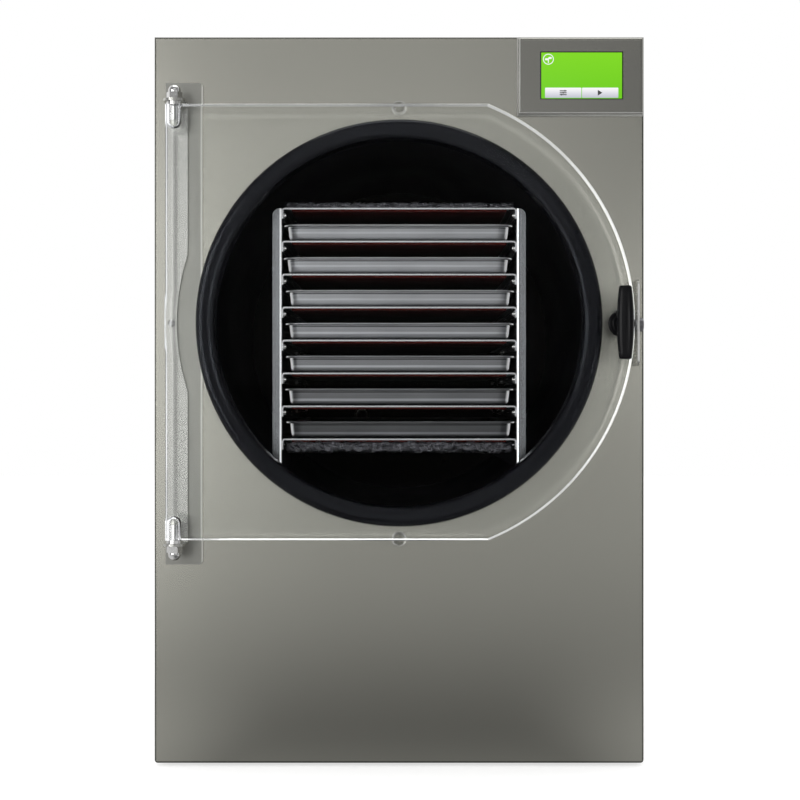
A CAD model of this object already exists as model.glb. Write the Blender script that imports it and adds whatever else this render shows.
import math

import bmesh
import bpy
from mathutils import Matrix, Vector


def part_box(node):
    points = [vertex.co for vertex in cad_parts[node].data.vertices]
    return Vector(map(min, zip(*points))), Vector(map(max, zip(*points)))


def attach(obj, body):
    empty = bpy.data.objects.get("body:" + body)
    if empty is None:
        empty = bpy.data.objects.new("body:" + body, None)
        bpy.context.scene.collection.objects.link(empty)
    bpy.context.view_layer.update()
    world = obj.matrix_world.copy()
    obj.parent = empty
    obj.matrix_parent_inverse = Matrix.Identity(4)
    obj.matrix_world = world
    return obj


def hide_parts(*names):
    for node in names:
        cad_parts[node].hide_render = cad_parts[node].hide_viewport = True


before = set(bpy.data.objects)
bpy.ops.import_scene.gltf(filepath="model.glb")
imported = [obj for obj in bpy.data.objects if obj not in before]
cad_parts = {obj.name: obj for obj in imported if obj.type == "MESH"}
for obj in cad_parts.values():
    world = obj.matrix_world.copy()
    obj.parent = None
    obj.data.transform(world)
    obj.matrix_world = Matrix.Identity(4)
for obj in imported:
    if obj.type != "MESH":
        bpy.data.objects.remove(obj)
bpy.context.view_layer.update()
bpy.ops.object.select_all(action="DESELECT")

# ---- Places, read from the frame ----

PANEL_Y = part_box("front_panel")[0].y
SCREEN_LOW, SCREEN_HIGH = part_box("touch_screen")
COVER_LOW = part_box("control_cover")[0]
# The board's back, behind its 4 mm posts and 1.6 mm of board
BOARD_BACK_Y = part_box("control_board")[0].y + 0.004 + 0.0016
LOW_TRAY_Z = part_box("tray_7")[0].z
HIGH_TRAY_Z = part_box("tray_1")[0].z
TRAY_PITCH = (HIGH_TRAY_Z - LOW_TRAY_Z) / 6
TRAY_FRONT_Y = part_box("tray_1")[0].y
HINGE_X = sum(corner.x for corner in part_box("hinge_sleeves")) / 2
HEATER_FRONT_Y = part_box("heater_pads")[0].y
VACUUM_AT = [sum(corner[axis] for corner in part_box("vacuum_port")) / 2 for axis in (0, 2)]
# The drain tube's axis over the valve's lowest point
DRAIN_AXIS_UP = 0.01085
DRAIN_AT = [sum(corner.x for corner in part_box("drain_valve")) / 2,
            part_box("drain_valve")[0].z + DRAIN_AXIS_UP]

# ---- Sizes of the pans, which the trays' finish needs too ----

PAN_HEIGHT = 0.0221
PAN_LIP = 0.0028
# The tray's finish counts heights from this far under a tray's floor
UNDER_TRAY = 0.001
RIM_SHADE_AT = UNDER_TRAY + PAN_HEIGHT - PAN_LIP - 0.0018


# ---- Small helpers for node trees ----

def add_node(tree, kind, **settings):
    """Adds a node and sets the properties that are given by name."""
    node = tree.nodes.new(kind)
    for name, value in settings.items():
        setattr(node, name, value)
    return node


def feed(tree, socket, value):
    """Links an output into a socket, or sets the socket to a plain value."""
    if isinstance(value, bpy.types.NodeSocket):
        tree.links.new(value, socket)
    else:
        socket.default_value = value


def math_node(tree, operation, *values, clamp=False):
    node = add_node(tree, "ShaderNodeMath", operation=operation, use_clamp=clamp)
    for socket, value in zip(node.inputs, values):
        feed(tree, socket, value)
    return node.outputs[0]


def vector_node(tree, operation, *values):
    node = add_node(tree, "ShaderNodeVectorMath", operation=operation)
    for socket, value in zip(node.inputs, values):
        feed(tree, socket, value)
    return node.outputs["Value" if operation == "DOT_PRODUCT" else "Vector"]


def scaled(tree, vector, factor):
    node = add_node(tree, "ShaderNodeVectorMath", operation="SCALE")
    feed(tree, node.inputs[0], vector)
    feed(tree, node.inputs["Scale"], factor)
    return node.outputs["Vector"]


def mixed(tree, factor, first, second):
    """Mixes two colours."""
    node = add_node(tree, "ShaderNodeMix", data_type="RGBA")
    feed(tree, node.inputs["Factor"], factor)
    feed(tree, node.inputs[6], first)
    feed(tree, node.inputs[7], second)
    return node.outputs[2]


def ranged(tree, value, low, high, to_low=0.0, to_high=1.0):
    node = add_node(tree, "ShaderNodeMapRange")
    for socket, item in zip(node.inputs, (value, low, high, to_low, to_high)):
        feed(tree, socket, item)
    return node.outputs[0]


def place(tree):
    """The point on the piece, in metres."""
    return add_node(tree, "ShaderNodeTexCoord").outputs["Object"]


def split(tree, vector):
    node = add_node(tree, "ShaderNodeSeparateXYZ")
    feed(tree, node.inputs[0], vector)
    return node.outputs


def noise(tree, vector, scale, detail=2.0, rough=0.5):
    node = add_node(tree, "ShaderNodeTexNoise")
    feed(tree, node.inputs["Vector"], vector)
    feed(tree, node.inputs["Scale"], scale)
    feed(tree, node.inputs["Detail"], detail)
    feed(tree, node.inputs["Roughness"], rough)
    return node.outputs[0]


def colour(*channels):
    return (*channels, 1.0)


def grey(level):
    return (level, level, level, 1.0)


def start_group(name, inputs, outputs):
    """An empty node group with its sockets; gives the tree, its inputs and its output node."""
    tree = bpy.data.node_groups.new(name, "ShaderNodeTree")
    for label, kind, default in inputs:
        socket = tree.interface.new_socket(label, in_out="INPUT", socket_type="NodeSocket" + kind)
        socket.default_value = default
    for label, kind in outputs:
        tree.interface.new_socket(label, in_out="OUTPUT", socket_type="NodeSocket" + kind)
    return tree, tree.nodes.new("NodeGroupInput").outputs, tree.nodes.new("NodeGroupOutput").inputs


def use_group(tree, group, **values):
    node = add_node(tree, "ShaderNodeGroup", node_tree=group)
    for label, value in values.items():
        feed(tree, node.inputs[label.replace("_", " ")], value)
    return node.outputs


# ---- Effects shared by several finishes ----

def build_sheet_grain():
    """Fine lines along a rolled or brushed sheet, under a slow cloudiness."""
    tree, given, out = start_group(
        "Sheet Grain",
        [("Colour", "Color", grey(0.5)), ("Stretch", "Vector", (6.0, 6.0, 800.0)),
         ("Lines", "Float", 0.04), ("Clouds", "Float", 0.04), ("Cloud Size", "Float", 0.12),
         ("Roughness", "Float", 0.3), ("Spread", "Float", 0.06)],
        [("Colour", "Color"), ("Roughness", "Float"), ("Height", "Float")])
    point = place(tree)
    lines = noise(tree, vector_node(tree, "MULTIPLY", point, given["Stretch"]), 1.0, 4.0, 0.62)
    clouds = noise(tree, point, math_node(tree, "DIVIDE", 1.0, given["Cloud Size"]), 2.0, 0.5)
    line_tone = math_node(tree, "MULTIPLY", math_node(tree, "SUBTRACT", lines, 0.5), given["Lines"])
    cloud_tone = math_node(tree, "MULTIPLY", math_node(tree, "SUBTRACT", clouds, 0.5), given["Clouds"])
    tone = math_node(tree, "ADD", math_node(tree, "ADD", line_tone, cloud_tone), 1.0)
    feed(tree, out["Colour"], scaled(tree, given["Colour"], tone))
    wander = math_node(tree, "MULTIPLY", math_node(tree, "SUBTRACT", lines, 0.5), given["Spread"])
    feed(tree, out["Roughness"], math_node(tree, "ADD", given["Roughness"], wander, clamp=True))
    feed(tree, out["Height"], lines)
    return tree


def build_edge_wear():
    """Where a piece's corners are rubbed: 1 on the corner, 0 on the flat."""
    tree, given, out = start_group(
        "Edge Wear", [("Width", "Float", 0.0008), ("Break Up", "Float", 0.5)], [("Mask", "Float")])
    rounded = add_node(tree, "ShaderNodeBevel", samples=4)
    feed(tree, rounded.inputs["Radius"], given["Width"])
    flat = add_node(tree, "ShaderNodeNewGeometry").outputs["Normal"]
    turn = math_node(tree, "SUBTRACT", 1.0, vector_node(tree, "DOT_PRODUCT", rounded.outputs[0], flat))
    patches = noise(tree, place(tree), 160.0, 3.0, 0.6)
    rub = math_node(tree, "SUBTRACT", math_node(tree, "MULTIPLY", turn, 14.0),
                    math_node(tree, "MULTIPLY", patches, given["Break Up"]), clamp=True)
    feed(tree, out["Mask"], rub)
    return tree


def build_dust():
    """Dust that settles on what faces up, patchy, from 0 to the given amount."""
    tree, given, out = start_group(
        "Settled Dust", [("Amount", "Float", 0.3)], [("Mask", "Float")])
    up = split(tree, add_node(tree, "ShaderNodeNewGeometry").outputs["Normal"])[2]
    patches = noise(tree, place(tree), 45.0, 4.0, 0.7)
    mask = math_node(tree, "MULTIPLY", ranged(tree, up, 0.35, 1.0), ranged(tree, patches, 0.3, 0.75))
    feed(tree, out["Mask"], math_node(tree, "MULTIPLY", mask, given["Amount"]))
    return tree


def build_plate():
    """A flat plate drawn in X and Z: 1 inside its rounded outline, 0 outside."""
    tree, given, out = start_group(
        "Screen Plate",
        [("Centre", "Vector", (0, 0, 0)), ("Half Width", "Float", 0.01), ("Half Height", "Float", 0.01),
         ("Corner", "Float", 0.001), ("Soft", "Float", 0.0003)], [("Mask", "Float")])
    offset = split(tree, vector_node(tree, "SUBTRACT", place(tree), given["Centre"]))

    def outside(axis, half):
        reach = math_node(tree, "SUBTRACT", half, given["Corner"])
        over = math_node(tree, "SUBTRACT", math_node(tree, "ABSOLUTE", offset[axis]), reach)
        return math_node(tree, "MAXIMUM", over, 0.0)

    across = outside(0, given["Half Width"])
    upward = outside(2, given["Half Height"])
    gap = math_node(tree, "SQRT", math_node(tree, "ADD", math_node(tree, "MULTIPLY", across, across),
                                            math_node(tree, "MULTIPLY", upward, upward)))
    past = math_node(tree, "SUBTRACT", gap, given["Corner"])
    feed(tree, out["Mask"], math_node(tree, "SUBTRACT", 1.0, math_node(
        tree, "DIVIDE", past, given["Soft"], clamp=True), clamp=True))
    return tree


SHEET_GRAIN = build_sheet_grain()
EDGE_WEAR = build_edge_wear()
DUST = build_dust()
PLATE = build_plate()


# ---- Finishes ----

def start_finish(name, **sockets):
    """A material with its plain socket values set; gives the material, its tree and its shader."""
    material = bpy.data.materials.new(name)
    material.use_nodes = True
    tree = material.node_tree
    shader = tree.nodes["Principled BSDF"]
    for label, value in sockets.items():
        shader.inputs[label.replace("_", " ")].default_value = value
    return material, tree, shader


def raise_surface(tree, shader, height, distance):
    bump = add_node(tree, "ShaderNodeBump")
    bump.inputs["Strength"].default_value = 1.0
    bump.inputs["Distance"].default_value = distance
    feed(tree, bump.inputs["Height"], height)
    feed(tree, shader.inputs["Normal"], bump.outputs[0])


def glow_along(tree, shader, mask, strength):
    """Emitted light where the mask is 1: painted on, not a reflection."""
    feed(tree, shader.inputs["Emission Color"], mixed(tree, mask, grey(0.0), grey(strength)))
    shader.inputs["Emission Strength"].default_value = 1.0


def sheet_metal(name, tint, stretch, lines=0.05, clouds=0.05, cloud_size=0.12, roughness=0.3,
                spread=0.06, dust=0.0, bends=1.0, glow=0.0):
    """Rolled, brushed or drawn sheet metal whose grain runs where the stretch is low."""
    material, tree, shader = start_finish(name, Metallic=1.0)
    grain = use_group(tree, SHEET_GRAIN, Colour=colour(*tint), Stretch=stretch, Lines=lines,
                      Clouds=clouds, Cloud_Size=cloud_size, Roughness=roughness, Spread=spread)
    tone = grain["Colour"]
    rough = grain["Roughness"]
    if bends != 1.0:
        # The bends round the front are toned duller or brighter than the flat sheet
        forward = split(tree, add_node(tree, "ShaderNodeNewGeometry").outputs["Normal"])[1]
        facing = math_node(tree, "ABSOLUTE", forward)
        bent = math_node(tree, "MULTIPLY", ranged(tree, facing, 0.9998, 0.985),
                         ranged(tree, facing, 0.02, 0.15))
        tone = scaled(tree, tone, ranged(tree, bent, 0.0, 1.0, 1.0, bends))
        if glow:
            front_bend = math_node(tree, "MULTIPLY", bent, math_node(tree, "LESS_THAN", forward, 0.0))
            glow_along(tree, shader, front_bend, strength=glow)
    if dust:
        layer = use_group(tree, DUST, Amount=dust)["Mask"]
        tone = mixed(tree, layer, tone, colour(0.42, 0.40, 0.37))
        rough = math_node(tree, "ADD", rough, layer, clamp=True)
    feed(tree, shader.inputs["Base Color"], tone)
    feed(tree, shader.inputs["Roughness"], rough)
    return material


def tray_steel():
    """Pressed stainless tray. Its crease, the shade under its rim and the darker tone of the lower trays
    are painted into its colour, and its front corners emit light."""
    material, tree, shader = start_finish("tray_steel", Metallic=0.6)
    facing = split(tree, add_node(tree, "ShaderNodeNewGeometry").outputs["Normal"])
    upward = split(tree, place(tree))[2]
    grain = use_group(tree, SHEET_GRAIN, Colour=colour(0.58, 0.59, 0.615), Stretch=(9.0, 30.0, 500.0),
                      Lines=0.45, Clouds=0.30, Cloud_Size=0.05, Roughness=0.46, Spread=0.12)
    # Height on the tray itself, and how high the tray sits in the rack
    own = math_node(tree, "MULTIPLY", TRAY_PITCH, math_node(tree, "FRACT", math_node(
        tree, "DIVIDE", math_node(tree, "SUBTRACT", upward, LOW_TRAY_Z - UNDER_TRAY), TRAY_PITCH)))
    storey = ranged(tree, upward, LOW_TRAY_Z, HIGH_TRAY_Z)
    crease_at = ranged(tree, storey, 0.0, 1.0, 0.0075, 0.0125)
    crease = ranged(tree, math_node(tree, "ABSOLUTE", math_node(tree, "SUBTRACT", own, crease_at)),
                    0.0010, 0.0026, 1.0, 0.0)
    wall = ranged(tree, storey, 0.0, 0.75, 0.16, 0.76)
    level = math_node(tree, "MAXIMUM", wall, math_node(tree, "MULTIPLY", crease, ranged(
        tree, storey, 0.0, 0.3, 0.4, 1.0)))
    corner = math_node(tree, "MULTIPLY", ranged(tree, math_node(tree, "ABSOLUTE", facing[0]), 0.66, 0.88),
                       ranged(tree, facing[1], -0.34, -0.14, 1.0, 0.0))
    corner = math_node(tree, "MULTIPLY", corner, math_node(
        tree, "LESS_THAN", split(tree, place(tree))[1], TRAY_FRONT_Y + 0.03))
    under = ranged(tree, facing[2], -0.80, -0.45, 0.12, 1.0)
    shade = ranged(tree, math_node(tree, "ABSOLUTE", math_node(tree, "SUBTRACT", own, RIM_SHADE_AT)),
                   0.0004, 0.0012, 0.25, 1.0)
    tone = mixed(tree, corner, scaled(tree, grain["Colour"], math_node(tree, "MULTIPLY", level, shade)),
                 colour(0.95, 0.96, 0.98))
    feed(tree, shader.inputs["Base Color"], scaled(tree, tone, under))
    feed(tree, shader.inputs["Metallic"], ranged(tree, corner, 0.0, 1.0, 0.6, 0.1))
    glow_along(tree, shader, corner, strength=0.42)
    feed(tree, shader.inputs["Roughness"], grain["Roughness"])
    return material


def strike_steel():
    """The strike: dull sides and a bright sheared front edge."""
    material, tree, shader = start_finish("strike_steel")
    facing = math_node(tree, "ABSOLUTE", split(
        tree, add_node(tree, "ShaderNodeNewGeometry").outputs["Normal"])[1])
    edge = ranged(tree, facing, 0.75, 0.95)
    grain = use_group(tree, SHEET_GRAIN, Colour=colour(0.26, 0.26, 0.24), Stretch=(5.0, 5.0, 900.0),
                      Lines=0.05, Clouds=0.05, Cloud_Size=0.02, Roughness=0.27, Spread=0.03)
    feed(tree, shader.inputs["Base Color"], mixed(tree, edge, grain["Colour"], colour(0.80, 0.80, 0.78)))
    feed(tree, shader.inputs["Metallic"], ranged(tree, edge, 0.0, 1.0, 1.0, 0.2))
    feed(tree, shader.inputs["Roughness"], grain["Roughness"])
    return material


def framed_plate(name, node, middle_tint, border_tint):
    """A dull plate in front of the panel, rubbed bright along its border on the chamber's side."""
    material, tree, shader = start_finish(name, Metallic=1.0)
    from_border = math_node(tree, "SUBTRACT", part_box(node)[1].x, split(tree, place(tree))[0])
    inward = ranged(tree, from_border, 0.0014, 0.0026)
    tint = mixed(tree, inward, colour(*border_tint), colour(*middle_tint))
    grain = use_group(tree, SHEET_GRAIN, Colour=tint, Stretch=(60.0, 60.0, 14.0), Lines=0.10, Clouds=0.10,
                      Cloud_Size=0.05, Roughness=0.32, Spread=0.04)
    feed(tree, shader.inputs["Base Color"], grain["Colour"])
    feed(tree, shader.inputs["Roughness"], grain["Roughness"])
    return material


def framed_cover():
    """The control cover: satin sheet, with two bright lines painted along its left and lower sides."""
    material, tree, shader = start_finish("cover_steel")
    point = split(tree, place(tree))
    from_side = math_node(tree, "MINIMUM", math_node(tree, "SUBTRACT", point[0], COVER_LOW.x),
                          math_node(tree, "SUBTRACT", point[2], COVER_LOW.z))

    def fold(start, end):
        return math_node(tree, "MULTIPLY", ranged(tree, from_side, start - 0.0004, start),
                         ranged(tree, from_side, end + 0.0004, end))

    folds = math_node(tree, "MAXIMUM", fold(-0.001, 0.0012), fold(0.0030, 0.0040))
    grain = use_group(tree, SHEET_GRAIN, Colour=colour(0.315, 0.312, 0.285), Stretch=(5.0, 5.0, 900.0),
                      Lines=0.02, Clouds=0.04, Cloud_Size=0.12, Roughness=0.27, Spread=0.015)
    feed(tree, shader.inputs["Base Color"], mixed(tree, folds, grain["Colour"], colour(0.46, 0.46, 0.44)))
    feed(tree, shader.inputs["Metallic"], math_node(tree, "SUBTRACT", 1.0, folds))
    feed(tree, shader.inputs["Roughness"], grain["Roughness"])
    return material


def galvanised_sheet():
    """Zinc crystals of different tone on a dull sheet."""
    material, tree, shader = start_finish("galvanised_sheet", Metallic=1.0)
    point = place(tree)
    crystals = add_node(tree, "ShaderNodeTexVoronoi")
    feed(tree, crystals.inputs["Vector"], point)
    crystals.inputs["Scale"].default_value = 90.0
    tone = split(tree, crystals.outputs["Color"])[0]
    feed(tree, shader.inputs["Base Color"], mixed(tree, tone, grey(0.32), colour(0.52, 0.53, 0.55)))
    feed(tree, shader.inputs["Roughness"], ranged(tree, tone, 0.0, 1.0, 0.38, 0.55))
    return material


def mouth_colour(tree, node, finish):
    """The finish, painted black where the fitting opens into the chamber."""
    mouth_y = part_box(node)[0].y + 0.003
    inside = ranged(tree, split(tree, place(tree))[1], mouth_y, mouth_y + 0.001, 1.0, 0.0)
    return mixed(tree, inside, finish, grey(0.004))


def polished_steel(name, smoothest, roughest, mouth_of=None):
    """Turned and polished stainless steel with hair scratches."""
    material, tree, shader = start_finish(name, Metallic=1.0)
    point = place(tree)
    scratches = noise(tree, vector_node(tree, "MULTIPLY", point, (900.0, 60.0, 900.0)), 1.0, 3.0, 0.7)
    tone = mixed(tree, scratches, colour(0.66, 0.66, 0.65), colour(0.86, 0.86, 0.85))
    if mouth_of:
        tone = mouth_colour(tree, mouth_of, tone)
    feed(tree, shader.inputs["Base Color"], tone)
    feed(tree, shader.inputs["Roughness"], ranged(tree, scratches, 0.3, 0.75, smoothest, roughest))
    return material


def moulded(name, base, roughness, wear=0.12, pebbles=900.0, relief=0.00002, dust=0.15, coat=0.0,
            gloss=0.5):
    """Moulded plastic, vinyl or rubber: a fine pebble, rubbed corners and a little dust."""
    material, tree, shader = start_finish(name, Coat_Weight=coat, Specular_IOR_Level=gloss)
    point = place(tree)
    pebble = noise(tree, point, pebbles, 2.0, 0.5)
    worn = use_group(tree, EDGE_WEAR, Width=0.0007, Break_Up=0.6)["Mask"]
    rub = math_node(tree, "MULTIPLY", worn, wear)
    settled = use_group(tree, DUST, Amount=dust)["Mask"]
    smudge = noise(tree, point, 22.0, 3.0, 0.55)
    tone = mixed(tree, rub, colour(*base), colour(*(min(1.0, 3.0 * c + 0.08) for c in base)))
    tone = mixed(tree, settled, tone, colour(0.30, 0.29, 0.27))
    feed(tree, shader.inputs["Base Color"], tone)
    rough = ranged(tree, smudge, 0.3, 0.7, roughness - 0.05, roughness + 0.06)
    feed(tree, shader.inputs["Roughness"], math_node(tree, "ADD", rough, settled, clamp=True))
    raise_surface(tree, shader, pebble, relief)
    return material


def clear_acrylic(name, edge_haze, tint, face_alpha, edge_glow, reflection=1.0):
    """Cast acrylic: lets the lamps' light through. Its edges, apart from those near the hinge bores, emit
    light in place of what the sheet would gather."""
    material, tree, shader = start_finish(
        name, Metallic=0.0, IOR=1.49, Transmission_Weight=1.0, Specular_Tint=grey(reflection),
        Emission_Strength=1.0)
    facing = split(tree, add_node(tree, "ShaderNodeNewGeometry").outputs["Normal"])
    edge = ranged(tree, math_node(tree, "ABSOLUTE", facing[1]), 0.98, 0.65)
    polish = noise(tree, place(tree), 60.0, 3.0, 0.6)
    feed(tree, shader.inputs["Base Color"], mixed(tree, edge, colour(*tint), colour(1.0, 1.0, 1.0)))
    haze = ranged(tree, polish, 0.3, 0.7, 0.7 * edge_haze, 1.2 * edge_haze)
    feed(tree, shader.inputs["Roughness"], math_node(tree, "MULTIPLY", edge, haze))
    shadow = add_node(tree, "ShaderNodeLightPath").outputs["Is Shadow Ray"]
    seen = ranged(tree, edge, 0.0, 0.5, face_alpha, 1.0)
    lit = ranged(tree, edge, 0.0, 0.5, 0.02, 0.5)
    alpha = math_node(tree, "ADD", math_node(tree, "MULTIPLY", shadow, lit),
                      math_node(tree, "MULTIPLY", math_node(tree, "SUBTRACT", 1.0, shadow), seen))
    feed(tree, shader.inputs["Alpha"], alpha)
    sideways = ranged(tree, math_node(tree, "ABSOLUTE", facing[0]), 0.0, 0.8, 0.3 * edge_glow, edge_glow)
    from_bore = math_node(tree, "ABSOLUTE", math_node(
        tree, "SUBTRACT", split(tree, place(tree))[0], HINGE_X))
    sideways = math_node(tree, "MULTIPLY", sideways, ranged(tree, from_bore, 0.0096, 0.0100))
    feed(tree, shader.inputs["Emission Color"], scaled(
        tree, mixed(tree, edge, grey(0.0), colour(0.96, 0.98, 1.0)), sideways))
    return material


def chamber_lining():
    """Smooth black coating inside the chamber, slightly uneven where frost has dried."""
    material, tree, shader = start_finish("chamber_lining", Metallic=0.0, Specular_IOR_Level=0.15)
    point = place(tree)
    stains = noise(tree, vector_node(tree, "MULTIPLY", point, (5.0, 2.0, 5.0)), 1.0, 5.0, 0.6)
    feed(tree, shader.inputs["Base Color"], mixed(
        tree, stains, colour(0.0055, 0.0050, 0.0060), colour(0.0110, 0.0100, 0.0120)))
    feed(tree, shader.inputs["Roughness"], ranged(tree, stains, 0.3, 0.7, 0.38, 0.55))
    return material


def door_rubber():
    """Smooth black rubber with a faint bluish bloom, drawn over the ring's facets."""
    material, tree, shader = start_finish(
        "door_rubber", Metallic=0.0, Specular_IOR_Level=0.28, Specular_Tint=colour(0.85, 0.9, 1.0))
    point = place(tree)
    bloom = noise(tree, point, 14.0, 4.0, 0.6)
    feed(tree, shader.inputs["Base Color"], mixed(
        tree, bloom, colour(0.002, 0.002, 0.003), colour(0.005, 0.005, 0.007)))
    feed(tree, shader.inputs["Roughness"], ranged(tree, bloom, 0.3, 0.7, 0.12, 0.18))
    rounded = add_node(tree, "ShaderNodeBevel", samples=6)
    rounded.inputs["Radius"].default_value = 0.003
    feed(tree, shader.inputs["Normal"], rounded.outputs[0])
    return material


def heater_silicone():
    """Dark red silicone with its moulded web of fine squares."""
    material, tree, shader = start_finish("heater_silicone", Metallic=0.0, Specular_IOR_Level=0.15)
    point = place(tree)
    across, along, _ = split(tree, point)
    pitch = 2 * math.pi / 0.0015
    web = math_node(tree, "MULTIPLY", math_node(tree, "SINE", math_node(tree, "MULTIPLY", across, pitch)),
                    math_node(tree, "SINE", math_node(tree, "MULTIPLY", along, pitch)))
    patches = noise(tree, point, 18.0, 3.0, 0.6)
    red = mixed(tree, patches, colour(0.060, 0.0055, 0.004), colour(0.090, 0.0080, 0.006))
    # Painted darker towards the back of the chamber
    deeper = ranged(tree, along, HEATER_FRONT_Y, HEATER_FRONT_Y + 0.22)
    feed(tree, shader.inputs["Base Color"], mixed(tree, deeper, red, colour(0.010, 0.002, 0.0015)))
    feed(tree, shader.inputs["Roughness"], ranged(tree, patches, 0.3, 0.7, 0.5, 0.65))
    raise_surface(tree, shader, web, 0.0001)
    return material


def crinkled_foil(name, tone):
    """Kitchen foil over soft batting: sharp facets and small glints."""
    material, tree, shader = start_finish(name, Metallic=1.0)
    point = place(tree)
    facets = add_node(tree, "ShaderNodeTexVoronoi", feature="F1")
    bend = add_node(tree, "ShaderNodeTexNoise")
    feed(tree, bend.inputs["Vector"], point)
    warp = scaled(tree, bend.outputs["Color"], 0.01)
    feed(tree, facets.inputs["Vector"], vector_node(tree, "ADD", point, warp))
    facets.inputs["Scale"].default_value = 150.0
    creases = noise(tree, vector_node(tree, "MULTIPLY", point, (90.0, 120.0, 240.0)), 1.0, 6.0, 0.7)
    fold = math_node(tree, "ADD", facets.outputs["Distance"], creases)
    feed(tree, shader.inputs["Base Color"], mixed(
        tree, creases, colour(*(0.75 * c for c in tone)), colour(*tone)))
    feed(tree, shader.inputs["Roughness"], ranged(tree, creases, 0.35, 0.65, 0.2, 0.42))
    raise_surface(tree, shader, fold, 0.0016)
    return material


def drawn_copper():
    """Copper tube with patches of brown tarnish."""
    material, tree, shader = start_finish("drawn_copper", Metallic=1.0)
    point = place(tree)
    tarnish = noise(tree, point, 26.0, 5.0, 0.65)
    age = ranged(tree, tarnish, 0.4, 0.7)
    feed(tree, shader.inputs["Base Color"], mixed(
        tree, age, colour(0.80, 0.40, 0.24), colour(0.34, 0.16, 0.09)))
    feed(tree, shader.inputs["Roughness"], ranged(tree, age, 0.0, 1.0, 0.22, 0.5))
    return material


def turned_brass():
    """Yellow brass with turning marks and a black mouth."""
    material, tree, shader = start_finish("turned_brass", Metallic=1.0)
    point = place(tree)
    marks = noise(tree, vector_node(tree, "MULTIPLY", point, (40.0, 1400.0, 40.0)), 1.0, 2.0, 0.5)
    dull = noise(tree, point, 60.0, 4.0, 0.6)
    feed(tree, shader.inputs["Base Color"], mouth_colour(tree, "drain_valve", mixed(
        tree, dull, colour(0.78, 0.58, 0.24), colour(0.52, 0.37, 0.15))))
    feed(tree, shader.inputs["Roughness"], ranged(tree, marks, 0.3, 0.7, 0.2, 0.36))
    return material


def jacket_foam():
    """Closed-cell foam with small pores."""
    material, tree, shader = start_finish("jacket_foam", Roughness=0.9)
    pores = add_node(tree, "ShaderNodeTexVoronoi")
    feed(tree, pores.inputs["Vector"], place(tree))
    pores.inputs["Scale"].default_value = 260.0
    feed(tree, shader.inputs["Base Color"], mixed(
        tree, pores.outputs["Distance"], colour(0.52, 0.48, 0.36), colour(0.74, 0.70, 0.58)))
    raise_surface(tree, shader, pores.outputs["Distance"], 0.0006)
    return material


def board_lacquer():
    """Green board with copper tracks; what stands on its back is dark or white."""
    material, tree, shader = start_finish("board_lacquer", Coat_Weight=0.3)
    point = place(tree)
    across, depth, upward = split(tree, point)

    def stripes(value, pitch, share):
        wave = math_node(tree, "FRACT", math_node(tree, "DIVIDE", value, pitch))
        return math_node(tree, "LESS_THAN", wave, share)

    cells = add_node(tree, "ShaderNodeTexVoronoi", distance="MANHATTAN")
    feed(tree, cells.inputs["Vector"], point)
    cells.inputs["Scale"].default_value = 85.0
    choice = split(tree, cells.outputs["Color"])
    tracks = mixed(tree, math_node(tree, "GREATER_THAN", choice[0], 0.5),
                   stripes(across, 0.0016, 0.45), stripes(upward, 0.0016, 0.45))
    green = mixed(tree, tracks, colour(0.006, 0.09, 0.03), colour(0.03, 0.22, 0.07))
    behind = math_node(tree, "GREATER_THAN", depth, BOARD_BACK_Y)
    parts = mixed(tree, math_node(tree, "GREATER_THAN", upward, (SCREEN_LOW.z + SCREEN_HIGH.z) / 2),
                  colour(0.015, 0.03, 0.10), colour(0.62, 0.62, 0.58))
    feed(tree, shader.inputs["Base Color"], mixed(tree, behind, green, parts))
    feed(tree, shader.inputs["Roughness"], ranged(tree, choice[1], 0.0, 1.0, 0.35, 0.5))
    return material


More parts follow.
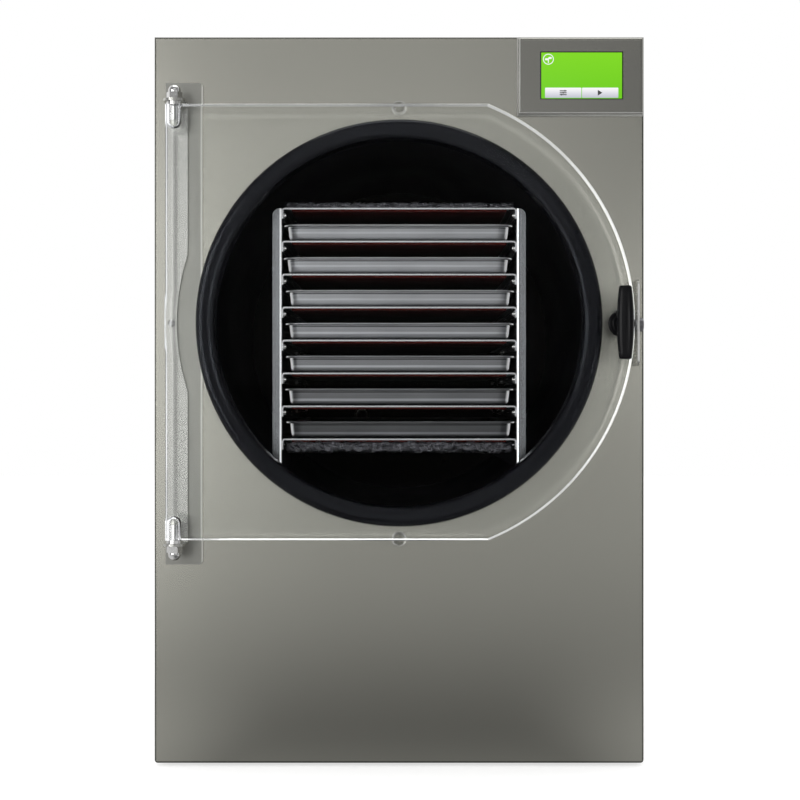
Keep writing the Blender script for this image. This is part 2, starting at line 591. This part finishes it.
def lit_screen():
    """The display behind its glass: a green page with a ring, a sprout and two pale keys."""
    material, tree, shader = start_finish(
        "lit_screen", Roughness=0.12, Base_Color=grey(0.005), Emission_Strength=1.0)
    middle = (SCREEN_LOW + SCREEN_HIGH) / 2
    point = place(tree)
    across, _, upward = split(tree, point)

    def plate(x, z, half_w, half_h, corner=0.0004):
        return use_group(tree, PLATE, Centre=(middle.x + x, middle.y, middle.z + z), Half_Width=half_w,
                         Half_Height=half_h, Corner=corner, Soft=0.00035)["Mask"]

    def ring(x, z, radius, width):
        outer = plate(x, z, radius, radius, radius)
        inner = plate(x, z, radius - width, radius - width, radius - width)
        return math_node(tree, "SUBTRACT", outer, inner, clamp=True)

    def over(page, mask, paint):
        return mixed(tree, mask, page, paint)

    glow = ranged(tree, upward, middle.z - 0.030, middle.z + 0.030)
    green = mixed(tree, glow, colour(0.150, 0.600, 0.006), colour(0.215, 0.690, 0.010))
    page = over(grey(0.0015), plate(0, 0, 0.0505, 0.0287), green)
    # The ring and the sprout, then the keys, placed from the screen's middle
    ring_x, key_x, key_z, key_half = -0.0418, 0.0232, -0.0216, 0.0062
    page = over(page, ring(ring_x, 0.0205, 0.0066, 0.0010), grey(0.95))
    for side in (-1, 1):
        leaf = plate(ring_x + 0.0021 * side, 0.0212 + 0.0008 * side, 0.0020, 0.0011, 0.0011)
        page = over(page, leaf, grey(0.95))
    page = over(page, plate(ring_x, 0.0188, 0.0004, 0.0028, 0.0003), grey(0.95))
    for side in (-1, 1):
        key = plate(key_x * side, key_z, 0.0226, key_half, 0.0008)
        shade = ranged(tree, upward, middle.z + key_z - key_half, middle.z + key_z + key_half)
        page = over(page, key, mixed(tree, shade, colour(0.52, 0.53, 0.62), grey(0.97)))
    # Plain signs on the keys: three bars on the left one, an arrowhead on the right one
    for step in (-1, 0, 1):
        bar_z = key_z + 0.0024 * step
        page = over(page, plate(-key_x, bar_z, 0.0042, 0.00045, 0.0003), grey(0.06))
        knob = plate(-key_x + 0.0022 * step, bar_z, 0.0009, 0.0009, 0.0009)
        page = over(page, knob, grey(0.06))
    tip = math_node(tree, "SUBTRACT", across, middle.x + key_x - 0.0030)
    spread = math_node(tree, "ABSOLUTE", math_node(tree, "SUBTRACT", upward, middle.z + key_z))
    arrow = math_node(tree, "MULTIPLY", math_node(tree, "GREATER_THAN", tip, 0.0), math_node(
        tree, "GREATER_THAN", math_node(tree, "SUBTRACT", 0.0036, math_node(
            tree, "ADD", math_node(tree, "MULTIPLY", tip, 0.62), spread)), 0.0))
    page = over(page, arrow, grey(0.06))
    feed(tree, shader.inputs["Emission Color"], page)
    return material


def black_enamel():
    """Enamel on pressed steel: a slight orange peel, chipped at its edges."""
    material, tree, shader = start_finish("black_enamel", Coat_Weight=0.4, Coat_Roughness=0.1)
    point = place(tree)
    peel = noise(tree, point, 240.0, 2.0, 0.5)
    chips = use_group(tree, EDGE_WEAR, Width=0.0012, Break_Up=1.2)["Mask"]
    settled = use_group(tree, DUST, Amount=0.35)["Mask"]
    tone = mixed(tree, chips, colour(0.012, 0.012, 0.013), colour(0.30, 0.28, 0.26))
    feed(tree, shader.inputs["Base Color"], mixed(tree, settled, tone, colour(0.22, 0.21, 0.19)))
    feed(tree, shader.inputs["Roughness"], math_node(tree, "ADD", 0.32, settled, clamp=True))
    raise_surface(tree, shader, peel, 0.00015)
    return material


SATIN = sheet_metal("satin_steel", (0.475, 0.470, 0.418), (5.0, 5.0, 900.0), lines=0.02, clouds=0.04,
                    roughness=0.27, spread=0.015, bends=0.3)
SATIN_SIDES = sheet_metal("satin_steel_cabinet", (0.475, 0.470, 0.418), (900.0, 5.0, 900.0), lines=0.035,
                          clouds=0.05, roughness=0.42, spread=0.05, dust=0.12, bends=0.3)
BRACKET = sheet_metal("bracket_steel", (0.56, 0.56, 0.53), (5.0, 5.0, 900.0), lines=0.02, clouds=0.04,
                      roughness=0.27, spread=0.015)
RACK = sheet_metal("rack_steel", (0.30, 0.31, 0.325), (600.0, 6.0, 5.0), lines=0.8, clouds=0.10,
                   cloud_size=0.03, roughness=0.24, spread=0.06, bends=2.6, glow=0.5)
SHELF = sheet_metal("shelf_steel", (0.62, 0.63, 0.65), (40.0, 6.0, 1100.0), lines=0.10, clouds=0.10,
                    cloud_size=0.03, roughness=0.26, spread=0.10)
FINS = sheet_metal("condenser_fins", (0.60, 0.61, 0.63), (300.0, 30.0, 30.0), lines=0.2, clouds=0.2,
                   cloud_size=0.04, roughness=0.4, spread=0.1, dust=0.3)
TRAY = tray_steel()
POLISHED = polished_steel("polished_steel", 0.08, 0.20)
FOIL = crinkled_foil("crinkled_foil", (0.13, 0.13, 0.145))
HANDLE_PLASTIC = moulded("handle_plastic", (0.003, 0.003, 0.004), 0.20, wear=0.02, dust=0.02,
                         relief=0.000004, gloss=0.2)

FINISHES = {
    SATIN: "front_panel",
    strike_steel(): "strike_bracket",
    BRACKET: "hinge_bracket",
    framed_plate("backing_steel", "hinge_backing_plate", (0.31, 0.31, 0.285), (0.60, 0.60, 0.56)):
        "hinge_backing_plate",
    framed_cover(): "control_cover",
    SATIN_SIDES: "cabinet_shell back_panel",
    galvanised_sheet(): "base_pan",
    moulded("foot_rubber", (0.014, 0.014, 0.015), 0.6): "feet",
    door_rubber(): "door_gasket",
    chamber_lining(): "vacuum_chamber",
    lit_screen(): "touch_screen",
    board_lacquer(): "control_board",
    jacket_foam(): "chamber_insulation",
    drawn_copper(): "evaporator_coil refrigerant_lines",
    clear_acrylic("clear_acrylic", 0.16, (0.985, 0.992, 0.990), 1.0, 0.40, 0.04): "door_panel",
    clear_acrylic("clear_bumper", 0.10, (0.97, 0.975, 0.97), 0.25, 0.15): "door_bumpers",
    clear_acrylic("clear_sleeve", 0.08, (0.80, 0.80, 0.80), 0.10, 0.0, 0.5): "hinge_sleeves",
    POLISHED: ("hinge_studs hinge_washers cap_nuts housing_nut latch_spindle latch_cam"
               " cam_screw panel_screws rack_rivets"),
    sheet_metal("plated_steel", (0.20, 0.20, 0.21), (300.0, 300.0, 300.0), roughness=0.38): "catch_bolt",
    polished_steel("port_steel", 0.12, 0.24, mouth_of="vacuum_port"): "vacuum_port",
    RACK: "rack_side_left rack_side_right",
    SHELF: " ".join(f"shelf_{i}" for i in range(1, 9)),
    heater_silicone(): "heater_pads",
    HANDLE_PLASTIC: "handle_base",
    moulded("fan_plastic", (0.016, 0.016, 0.018), 0.45): "fan_frame fan_rotor power_inlet switch_rocker",
    black_enamel(): "compressor",
    FINS: "condenser",
    turned_brass(): "drain_valve",
    moulded("lever_vinyl", (0.42, 0.02, 0.015), 0.35, pebbles=500.0, coat=0.2): "drain_lever",
}

for finish, names in FINISHES.items():
    for name in names.split():
        for place_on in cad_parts[name].material_slots:
            place_on.link = "OBJECT"
            place_on.material = finish


# ---- Helpers for modelling ----

def box_between(name, low, high):
    """A plain box between two corners, ready to be shaped."""
    bpy.ops.object.select_all(action="DESELECT")
    low, high = Vector(low), Vector(high)
    bpy.ops.mesh.primitive_cube_add(size=1, location=(low + high) / 2)
    piece = bpy.context.object
    piece.name = name
    piece.scale = high - low
    bpy.ops.object.transform_apply(location=True, rotation=True, scale=True)
    return piece


def disc_facing_front(name, centre, radius, sides):
    """A round plate whose face looks towards the front."""
    bpy.ops.object.select_all(action="DESELECT")
    bpy.ops.mesh.primitive_circle_add(vertices=sides, radius=radius, fill_type="NGON", location=centre,
                                      rotation=(math.pi / 2, 0, 0))
    piece = bpy.context.object
    piece.name = name
    bpy.ops.object.transform_apply(location=True, rotation=True, scale=True)
    return piece


def pick(piece, kind, test):
    """Selects the faces, edges or verts that pass a test, and nothing else, in edit mode."""
    bpy.ops.mesh.select_all(action="DESELECT")
    mesh = bmesh.from_edit_mesh(piece.data)
    bpy.context.tool_settings.mesh_select_mode = (kind == "verts", kind == "edges", kind == "faces")
    for item in getattr(mesh, kind):
        item.select_set(test(item))
    mesh.select_flush_mode()
    bmesh.update_edit_mesh(piece.data)


def runs_along(axis, shortest):
    """Tests whether an edge lies along an axis and is at least that long."""
    def test(edge):
        span = edge.verts[1].co - edge.verts[0].co
        return abs(span[axis]) > shortest and abs(span[axis]) > 0.999 * span.length
    return test


def apply_modifier(piece, kind, **settings):
    modifier = piece.modifiers.new(kind.lower(), kind)
    for name, value in settings.items():
        setattr(modifier, name, value)
    bpy.ops.object.modifier_apply(modifier=modifier.name)


def point_outwards():
    bpy.ops.mesh.select_all(action="SELECT")
    bpy.ops.mesh.remove_doubles(threshold=0.00001)
    bpy.ops.mesh.normals_make_consistent(inside=False)


def settle(piece, body, slot, finish, *nodes):
    """Gives a finished piece its body, its finish and the nodes that it stands for."""
    piece.data.materials.clear()
    piece.data.materials.append(finish)
    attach(piece, body)
    if nodes:
        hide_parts(*nodes)


def draw_forward(reach, steps):
    """Draws the open disc out towards the front, by a share of the reach and a factor of its width."""
    bpy.ops.object.mode_set(mode="EDIT")
    bpy.ops.mesh.select_all(action="SELECT")
    for share, factor in steps:
        bpy.ops.mesh.extrude_region_move(TRANSFORM_OT_translate={"value": (0, -share * reach, 0)})
        bpy.ops.transform.resize(value=(factor, 1, factor))
    point_outwards()
    bpy.ops.object.mode_set(mode="OBJECT")


# ---- Foil-wrapped batting over the first shelf and under the last ----

def foil_wrap(node, finish, seed):
    """Soft batting in kitchen foil: a rounded pad, cut fine and crumpled."""
    low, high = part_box(node)
    wrap = box_between(node.replace("_pad", "_wrap"), low, high)
    height = high.z - low.z
    bpy.ops.object.mode_set(mode="EDIT")
    bpy.ops.mesh.bevel(offset=0.28 * height, segments=3, affect="EDGES")
    for axis, cuts in ((0, 118), (1, 96), (2, 1)):
        pick(wrap, "edges", runs_along(axis, 0.15 * height))
        bpy.ops.mesh.subdivide(number_cuts=cuts)
    bpy.ops.mesh.select_all(action="SELECT")
    bpy.ops.transform.vertex_random(offset=0.0009, uniform=0.2, seed=seed)
    bpy.ops.object.mode_set(mode="OBJECT")
    for kind, size, strength in (("CLOUDS", 0.018, 0.0030), ("VORONOI", 0.009, 0.0024)):
        crumple = bpy.data.textures.new(f"{wrap.name}_{kind.lower()}", kind)
        crumple.noise_scale = size
        apply_modifier(wrap, "DISPLACE", texture=crumple, texture_coords="LOCAL", strength=strength,
                       mid_level=0.42)
    settle(wrap, "cabinet", "foil", finish, node)


foil_wrap("upper_foil_pad", FOIL, 3)
foil_wrap("lower_foil_pad", FOIL, 8)


# ---- Trays ----

def tray_pan(node, finish):
    """A pressed pan: round corners, steep sides, a soft bend at the bottom and a rolled rim."""
    low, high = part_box(node)
    reach, rim, sheet, bend, slope, corner = 0.0018, 0.0050, 0.0009, 0.0066, 0.0022, 0.017
    top = low.z + PAN_HEIGHT
    pan = box_between(f"{node}_pan", (low.x - reach + rim, low.y + rim, low.z),
                      (high.x + reach - rim, high.y - rim, top - PAN_LIP))
    size = pan.dimensions.copy()
    middle = (low.x / 2 + high.x / 2, low.y / 2 + high.y / 2, low.z)

    def drawn_in(by):
        bpy.ops.transform.resize(value=(1 - 2 * by / size.x, 1 - 2 * by / size.y, 1),
                                 center_override=middle)

    bpy.ops.object.mode_set(mode="EDIT")
    pick(pan, "edges", runs_along(2, 0.01))
    bpy.ops.mesh.bevel(offset=corner, segments=10, affect="EDGES")
    pick(pan, "verts", lambda v: v.co.z < low.z + 0.001)
    drawn_in(slope)
    pick(pan, "edges", lambda edge: all(v.co.z < low.z + 0.001 for v in edge.verts))
    bpy.ops.mesh.bevel(offset=bend, segments=5, affect="EDGES")
    pick(pan, "faces", lambda face: face.normal.z > 0.9)
    bpy.ops.mesh.extrude_region_move(TRANSFORM_OT_translate={"value": (0, 0, PAN_LIP)})
    pick(pan, "faces", lambda face: face.normal.z < 0.1
         and face.calc_center_median().z > top - 0.9 * PAN_LIP)
    bpy.ops.mesh.extrude_region_shrink_fatten(
        TRANSFORM_OT_shrink_fatten={"value": rim, "use_even_offset": True})
    bpy.ops.mesh.region_to_loop()
    bpy.ops.mesh.bevel(offset=0.45 * PAN_LIP, segments=4, affect="EDGES")
    pick(pan, "faces", lambda face: face.normal.z > 0.9 and face.calc_area() > 0.01)
    bpy.ops.mesh.inset(thickness=sheet)
    turn = bend - sheet
    for down, by in ((top - low.z - bend, slope), (0.7 * turn, 0.3 * bend), (0.3 * turn, 0.6 * bend)):
        bpy.ops.mesh.extrude_region_move(TRANSFORM_OT_translate={"value": (0, 0, -down)})
        drawn_in(by)
    point_outwards()
    bpy.ops.object.mode_set(mode="OBJECT")
    bpy.ops.object.shade_smooth_by_angle(angle=math.radians(35))
    settle(pan, "cabinet", "tray_steel", finish, node)


for number in range(1, 8):
    tray_pan(f"tray_{number}", TRAY)


# ---- Handle grip ----

def handle_grip(finish):
    """A barrel-shaped bar on a waisted neck."""
    low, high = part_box("handle_bar")
    middle = (low + high) / 2
    deep, end_share = 0.017, 0.71
    grip = box_between("handle_grip", low, (high.x, low.y + deep, high.z))
    bar_y = low.y + deep / 2
    bpy.ops.object.mode_set(mode="EDIT")
    pick(grip, "edges", runs_along(2, 0.05))
    bpy.ops.mesh.bevel(offset=0.0066, segments=5, affect="EDGES")
    pick(grip, "edges", lambda edge: all(abs(v.co.z - middle.z) > 0.04 for v in edge.verts)
         and len(edge.link_faces) == 2 and any(len(face.verts) > 4 for face in edge.link_faces))
    bpy.ops.mesh.bevel(offset=0.0022, segments=3, affect="EDGES")
    pick(grip, "edges", runs_along(2, 0.05))
    bpy.ops.mesh.subdivide(number_cuts=13)
    half = (high.z - low.z) / 2
    levels = sorted({round(v.co.z, 5) for v in bmesh.from_edit_mesh(grip.data).verts})
    for level in levels:
        up = min(1.0, abs(level - middle.z) / half)
        width = 1 - (1 - end_share) * up ** 2.2
        pick(grip, "verts", lambda v: abs(v.co.z - level) < 0.00003)
        bpy.ops.transform.resize(value=(width, 1 - 0.18 * up ** 2, 1),
                                 center_override=(middle.x, bar_y, level))
    bpy.ops.object.mode_set(mode="OBJECT")
    disc_facing_front("handle_neck", (middle.x, high.y, middle.z), 0.0086, 40)
    # The neck ends 3 mm inside the bar
    draw_forward(high.y - (low.y + deep) + 0.003, (
        (0.08, 1.0), (0.12, 0.90), (0.14, 0.90), (0.16, 0.95), (0.16, 1.0), (0.16, 1.06), (0.18, 1.18)))
    grip.select_set(True)
    bpy.context.view_layer.objects.active = grip
    bpy.ops.object.join()
    bpy.ops.object.shade_smooth_by_angle(angle=math.radians(50))
    settle(grip, "handle", "black_plastic", finish, "handle_bar")


handle_grip(HANDLE_PLASTIC)


# ---- Strainers in the chamber's two ports: guessed, and there to keep the studio's light out ----

def sintered_metal():
    """Grains of dark metal pressed together, with pores between them."""
    material, tree, shader = start_finish("sintered_metal", Metallic=1.0)
    grains = add_node(tree, "ShaderNodeTexVoronoi")
    feed(tree, grains.inputs["Vector"], place(tree))
    grains.inputs["Scale"].default_value = 1600.0
    depth = grains.outputs["Distance"]
    feed(tree, shader.inputs["Base Color"], mixed(tree, depth, colour(0.09, 0.085, 0.08), grey(0.01)))
    feed(tree, shader.inputs["Roughness"], ranged(tree, depth, 0.0, 0.6, 0.55, 0.85))
    raise_surface(tree, shader, depth, -0.0004)
    return material


def strainer(name, node, centre, radius, slot, finish):
    """A stepped and domed plug of sintered metal, pressed into a port's open end."""
    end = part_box(node)[0].y
    plug = disc_facing_front(name, (centre[0], end + 0.6 * radius, centre[1]), radius, 40)
    draw_forward(radius, (
        (0.60, 1.0), (0.05, 0.86), (0.22, 0.97), (0.16, 0.88), (0.10, 0.72), (0.05, 0.45)))
    bpy.ops.object.shade_smooth_by_angle(angle=math.radians(40))
    settle(plug, "cabinet", slot, finish)


SINTERED = sintered_metal()
strainer("port_strainer", "vacuum_port", VACUUM_AT, 0.0096, "polished_steel", SINTERED)
strainer("drain_strainer", "drain_valve", DRAIN_AT, 0.0043, "brass", SINTERED)


# ---- Studio ----

MIDDLE_HEIGHT = 0.46
CAMERA_AT = (0.0011, PANEL_Y - 2.2, 0.4611)
BACKDROP = 1.0
ROOM = 0.25
FLOOR_GLOSS = 0.75
FLOOR_SHINE = 0.62
LAMPS = (
    ("lamp_middle", (0.0, -3.3, 0.95), (1.0, 0.9), 1.34),
    ("lamp_left", (-1.15, -2.9, 0.7), (0.6, 1.4), 8.2),
    ("lamp_left_wide", (-2.1, -2.3, 0.8), (0.7, 1.8), 7.0),
    ("lamp_left_near", (-1.1, -1.2, 0.6), (0.4, 0.9), 2.2),
    ("lamp_right", (1.25, -2.9, 0.6), (0.6, 1.6), 0.3),
    ("lamp_right_wide", (2.1, -2.3, 0.8), (0.7, 1.8), 0.8),
    ("lamp_right_glow", (0.78, -1.9, 0.62), (0.25, 0.35), 0.7),
    ("lamp_top", (0.0, -2.7, 2.0), (1.8, 0.6), 3.1),
    ("lamp_above", (0.0, -0.4, 2.6), (1.8, 1.2), 12.0),
)


def studio_plane(name, size, centre, turn, material):
    bpy.ops.mesh.primitive_plane_add(size=size, location=centre, rotation=turn)
    plane = bpy.context.object
    plane.name = name
    plane.data.materials.append(material)


def floor_paint():
    """Pale floor: white to the camera apart from the shadow on it. Shiny pieces mirror another floor
    than the camera sees: a dark one, pale far off and to the sides, and a little paler close by."""
    material, tree, shader = start_finish("floor_paint", Base_Color=grey(0.82), Roughness=0.9)
    across, depth, _ = split(tree, place(tree))
    away = ranged(tree, depth, PANEL_Y - 0.45, PANEL_Y - 2.6)
    aside = math_node(tree, "MULTIPLY", ranged(tree, math_node(tree, "ABSOLUTE", across), 0.18, 0.42),
                      ranged(tree, depth, PANEL_Y - 0.95, PANEL_Y - 0.25, 0.0, 1.0))
    near = ranged(tree, depth, PANEL_Y - 0.22, PANEL_Y - 0.05, 0.0, 0.18)
    pale = math_node(tree, "MAXIMUM", math_node(tree, "MAXIMUM", math_node(
        tree, "MULTIPLY", away, 0.96), aside), near)
    path = add_node(tree, "ShaderNodeLightPath")
    mirrored = add_node(tree, "ShaderNodeEmission")
    mirrored.inputs["Strength"].default_value = FLOOR_GLOSS
    feed(tree, mirrored.inputs["Color"], mixed(tree, pale, grey(0.17), grey(0.85)))
    shine = add_node(tree, "ShaderNodeEmission")
    shine.inputs["Strength"].default_value = FLOOR_SHINE
    total = add_node(tree, "ShaderNodeAddShader")
    feed(tree, total.inputs[0], shader.outputs[0])
    feed(tree, total.inputs[1], shine.outputs[0])
    last = shader
    for seen, other in (("Is Camera Ray", total), ("Is Glossy Ray", mirrored)):
        choice = add_node(tree, "ShaderNodeMixShader")
        feed(tree, choice.inputs[0], path.outputs[seen])
        feed(tree, choice.inputs[1], last.outputs[0])
        feed(tree, choice.inputs[2], other.outputs[0])
        last = choice
    tree.links.new(last.outputs[0], tree.nodes["Material Output"].inputs["Surface"])
    return material


def soft_lamp(name, centre, size, aim, power):
    bpy.ops.object.light_add(type="AREA", location=centre)
    lamp = bpy.context.object
    lamp.name = name
    lamp.data.shape = "RECTANGLE"
    lamp.data.size, lamp.data.size_y = size
    lamp.data.energy = power
    lamp.rotation_euler = (Vector(aim) - Vector(centre)).to_track_quat("-Z", "Y").to_euler()
    lamp.visible_camera = False


studio_plane("studio_floor", 16.0, (0, 0, 0), (0, 0, 0), floor_paint())

# White to the camera and through the clear door; to all else a room, dim in front and bright behind
world = bpy.data.worlds.new("studio")
bpy.context.scene.world = world
world.use_nodes = True
sky = world.node_tree
background = sky.nodes["Background"]
path = add_node(sky, "ShaderNodeLightPath")
behind = split(sky, add_node(sky, "ShaderNodeTexCoord").outputs["Generated"])[1]
through = math_node(sky, "MULTIPLY", path.outputs["Is Transmission Ray"],
                    math_node(sky, "GREATER_THAN", behind, 0.0))
seen = math_node(sky, "MAXIMUM", path.outputs["Is Camera Ray"], through)
room = mixed(sky, ranged(sky, behind, -0.2, 0.3), grey(ROOM), grey(0.9 * BACKDROP))
feed(sky, background.inputs["Color"], mixed(sky, seen, room, grey(BACKDROP)))
background.inputs["Strength"].default_value = 1.0

for label, centre, size, power in LAMPS:
    soft_lamp(label, centre, size, (centre[0] * 0.1, PANEL_Y, MIDDLE_HEIGHT), power)

bpy.ops.object.camera_add(location=CAMERA_AT, rotation=(math.pi / 2, 0, 0))
camera = bpy.context.object
camera.data.sensor_width = 36.0
camera.data.lens = 78.66
bpy.context.scene.camera = camera

bpy.context.scene.view_settings.view_transform = "Standard"
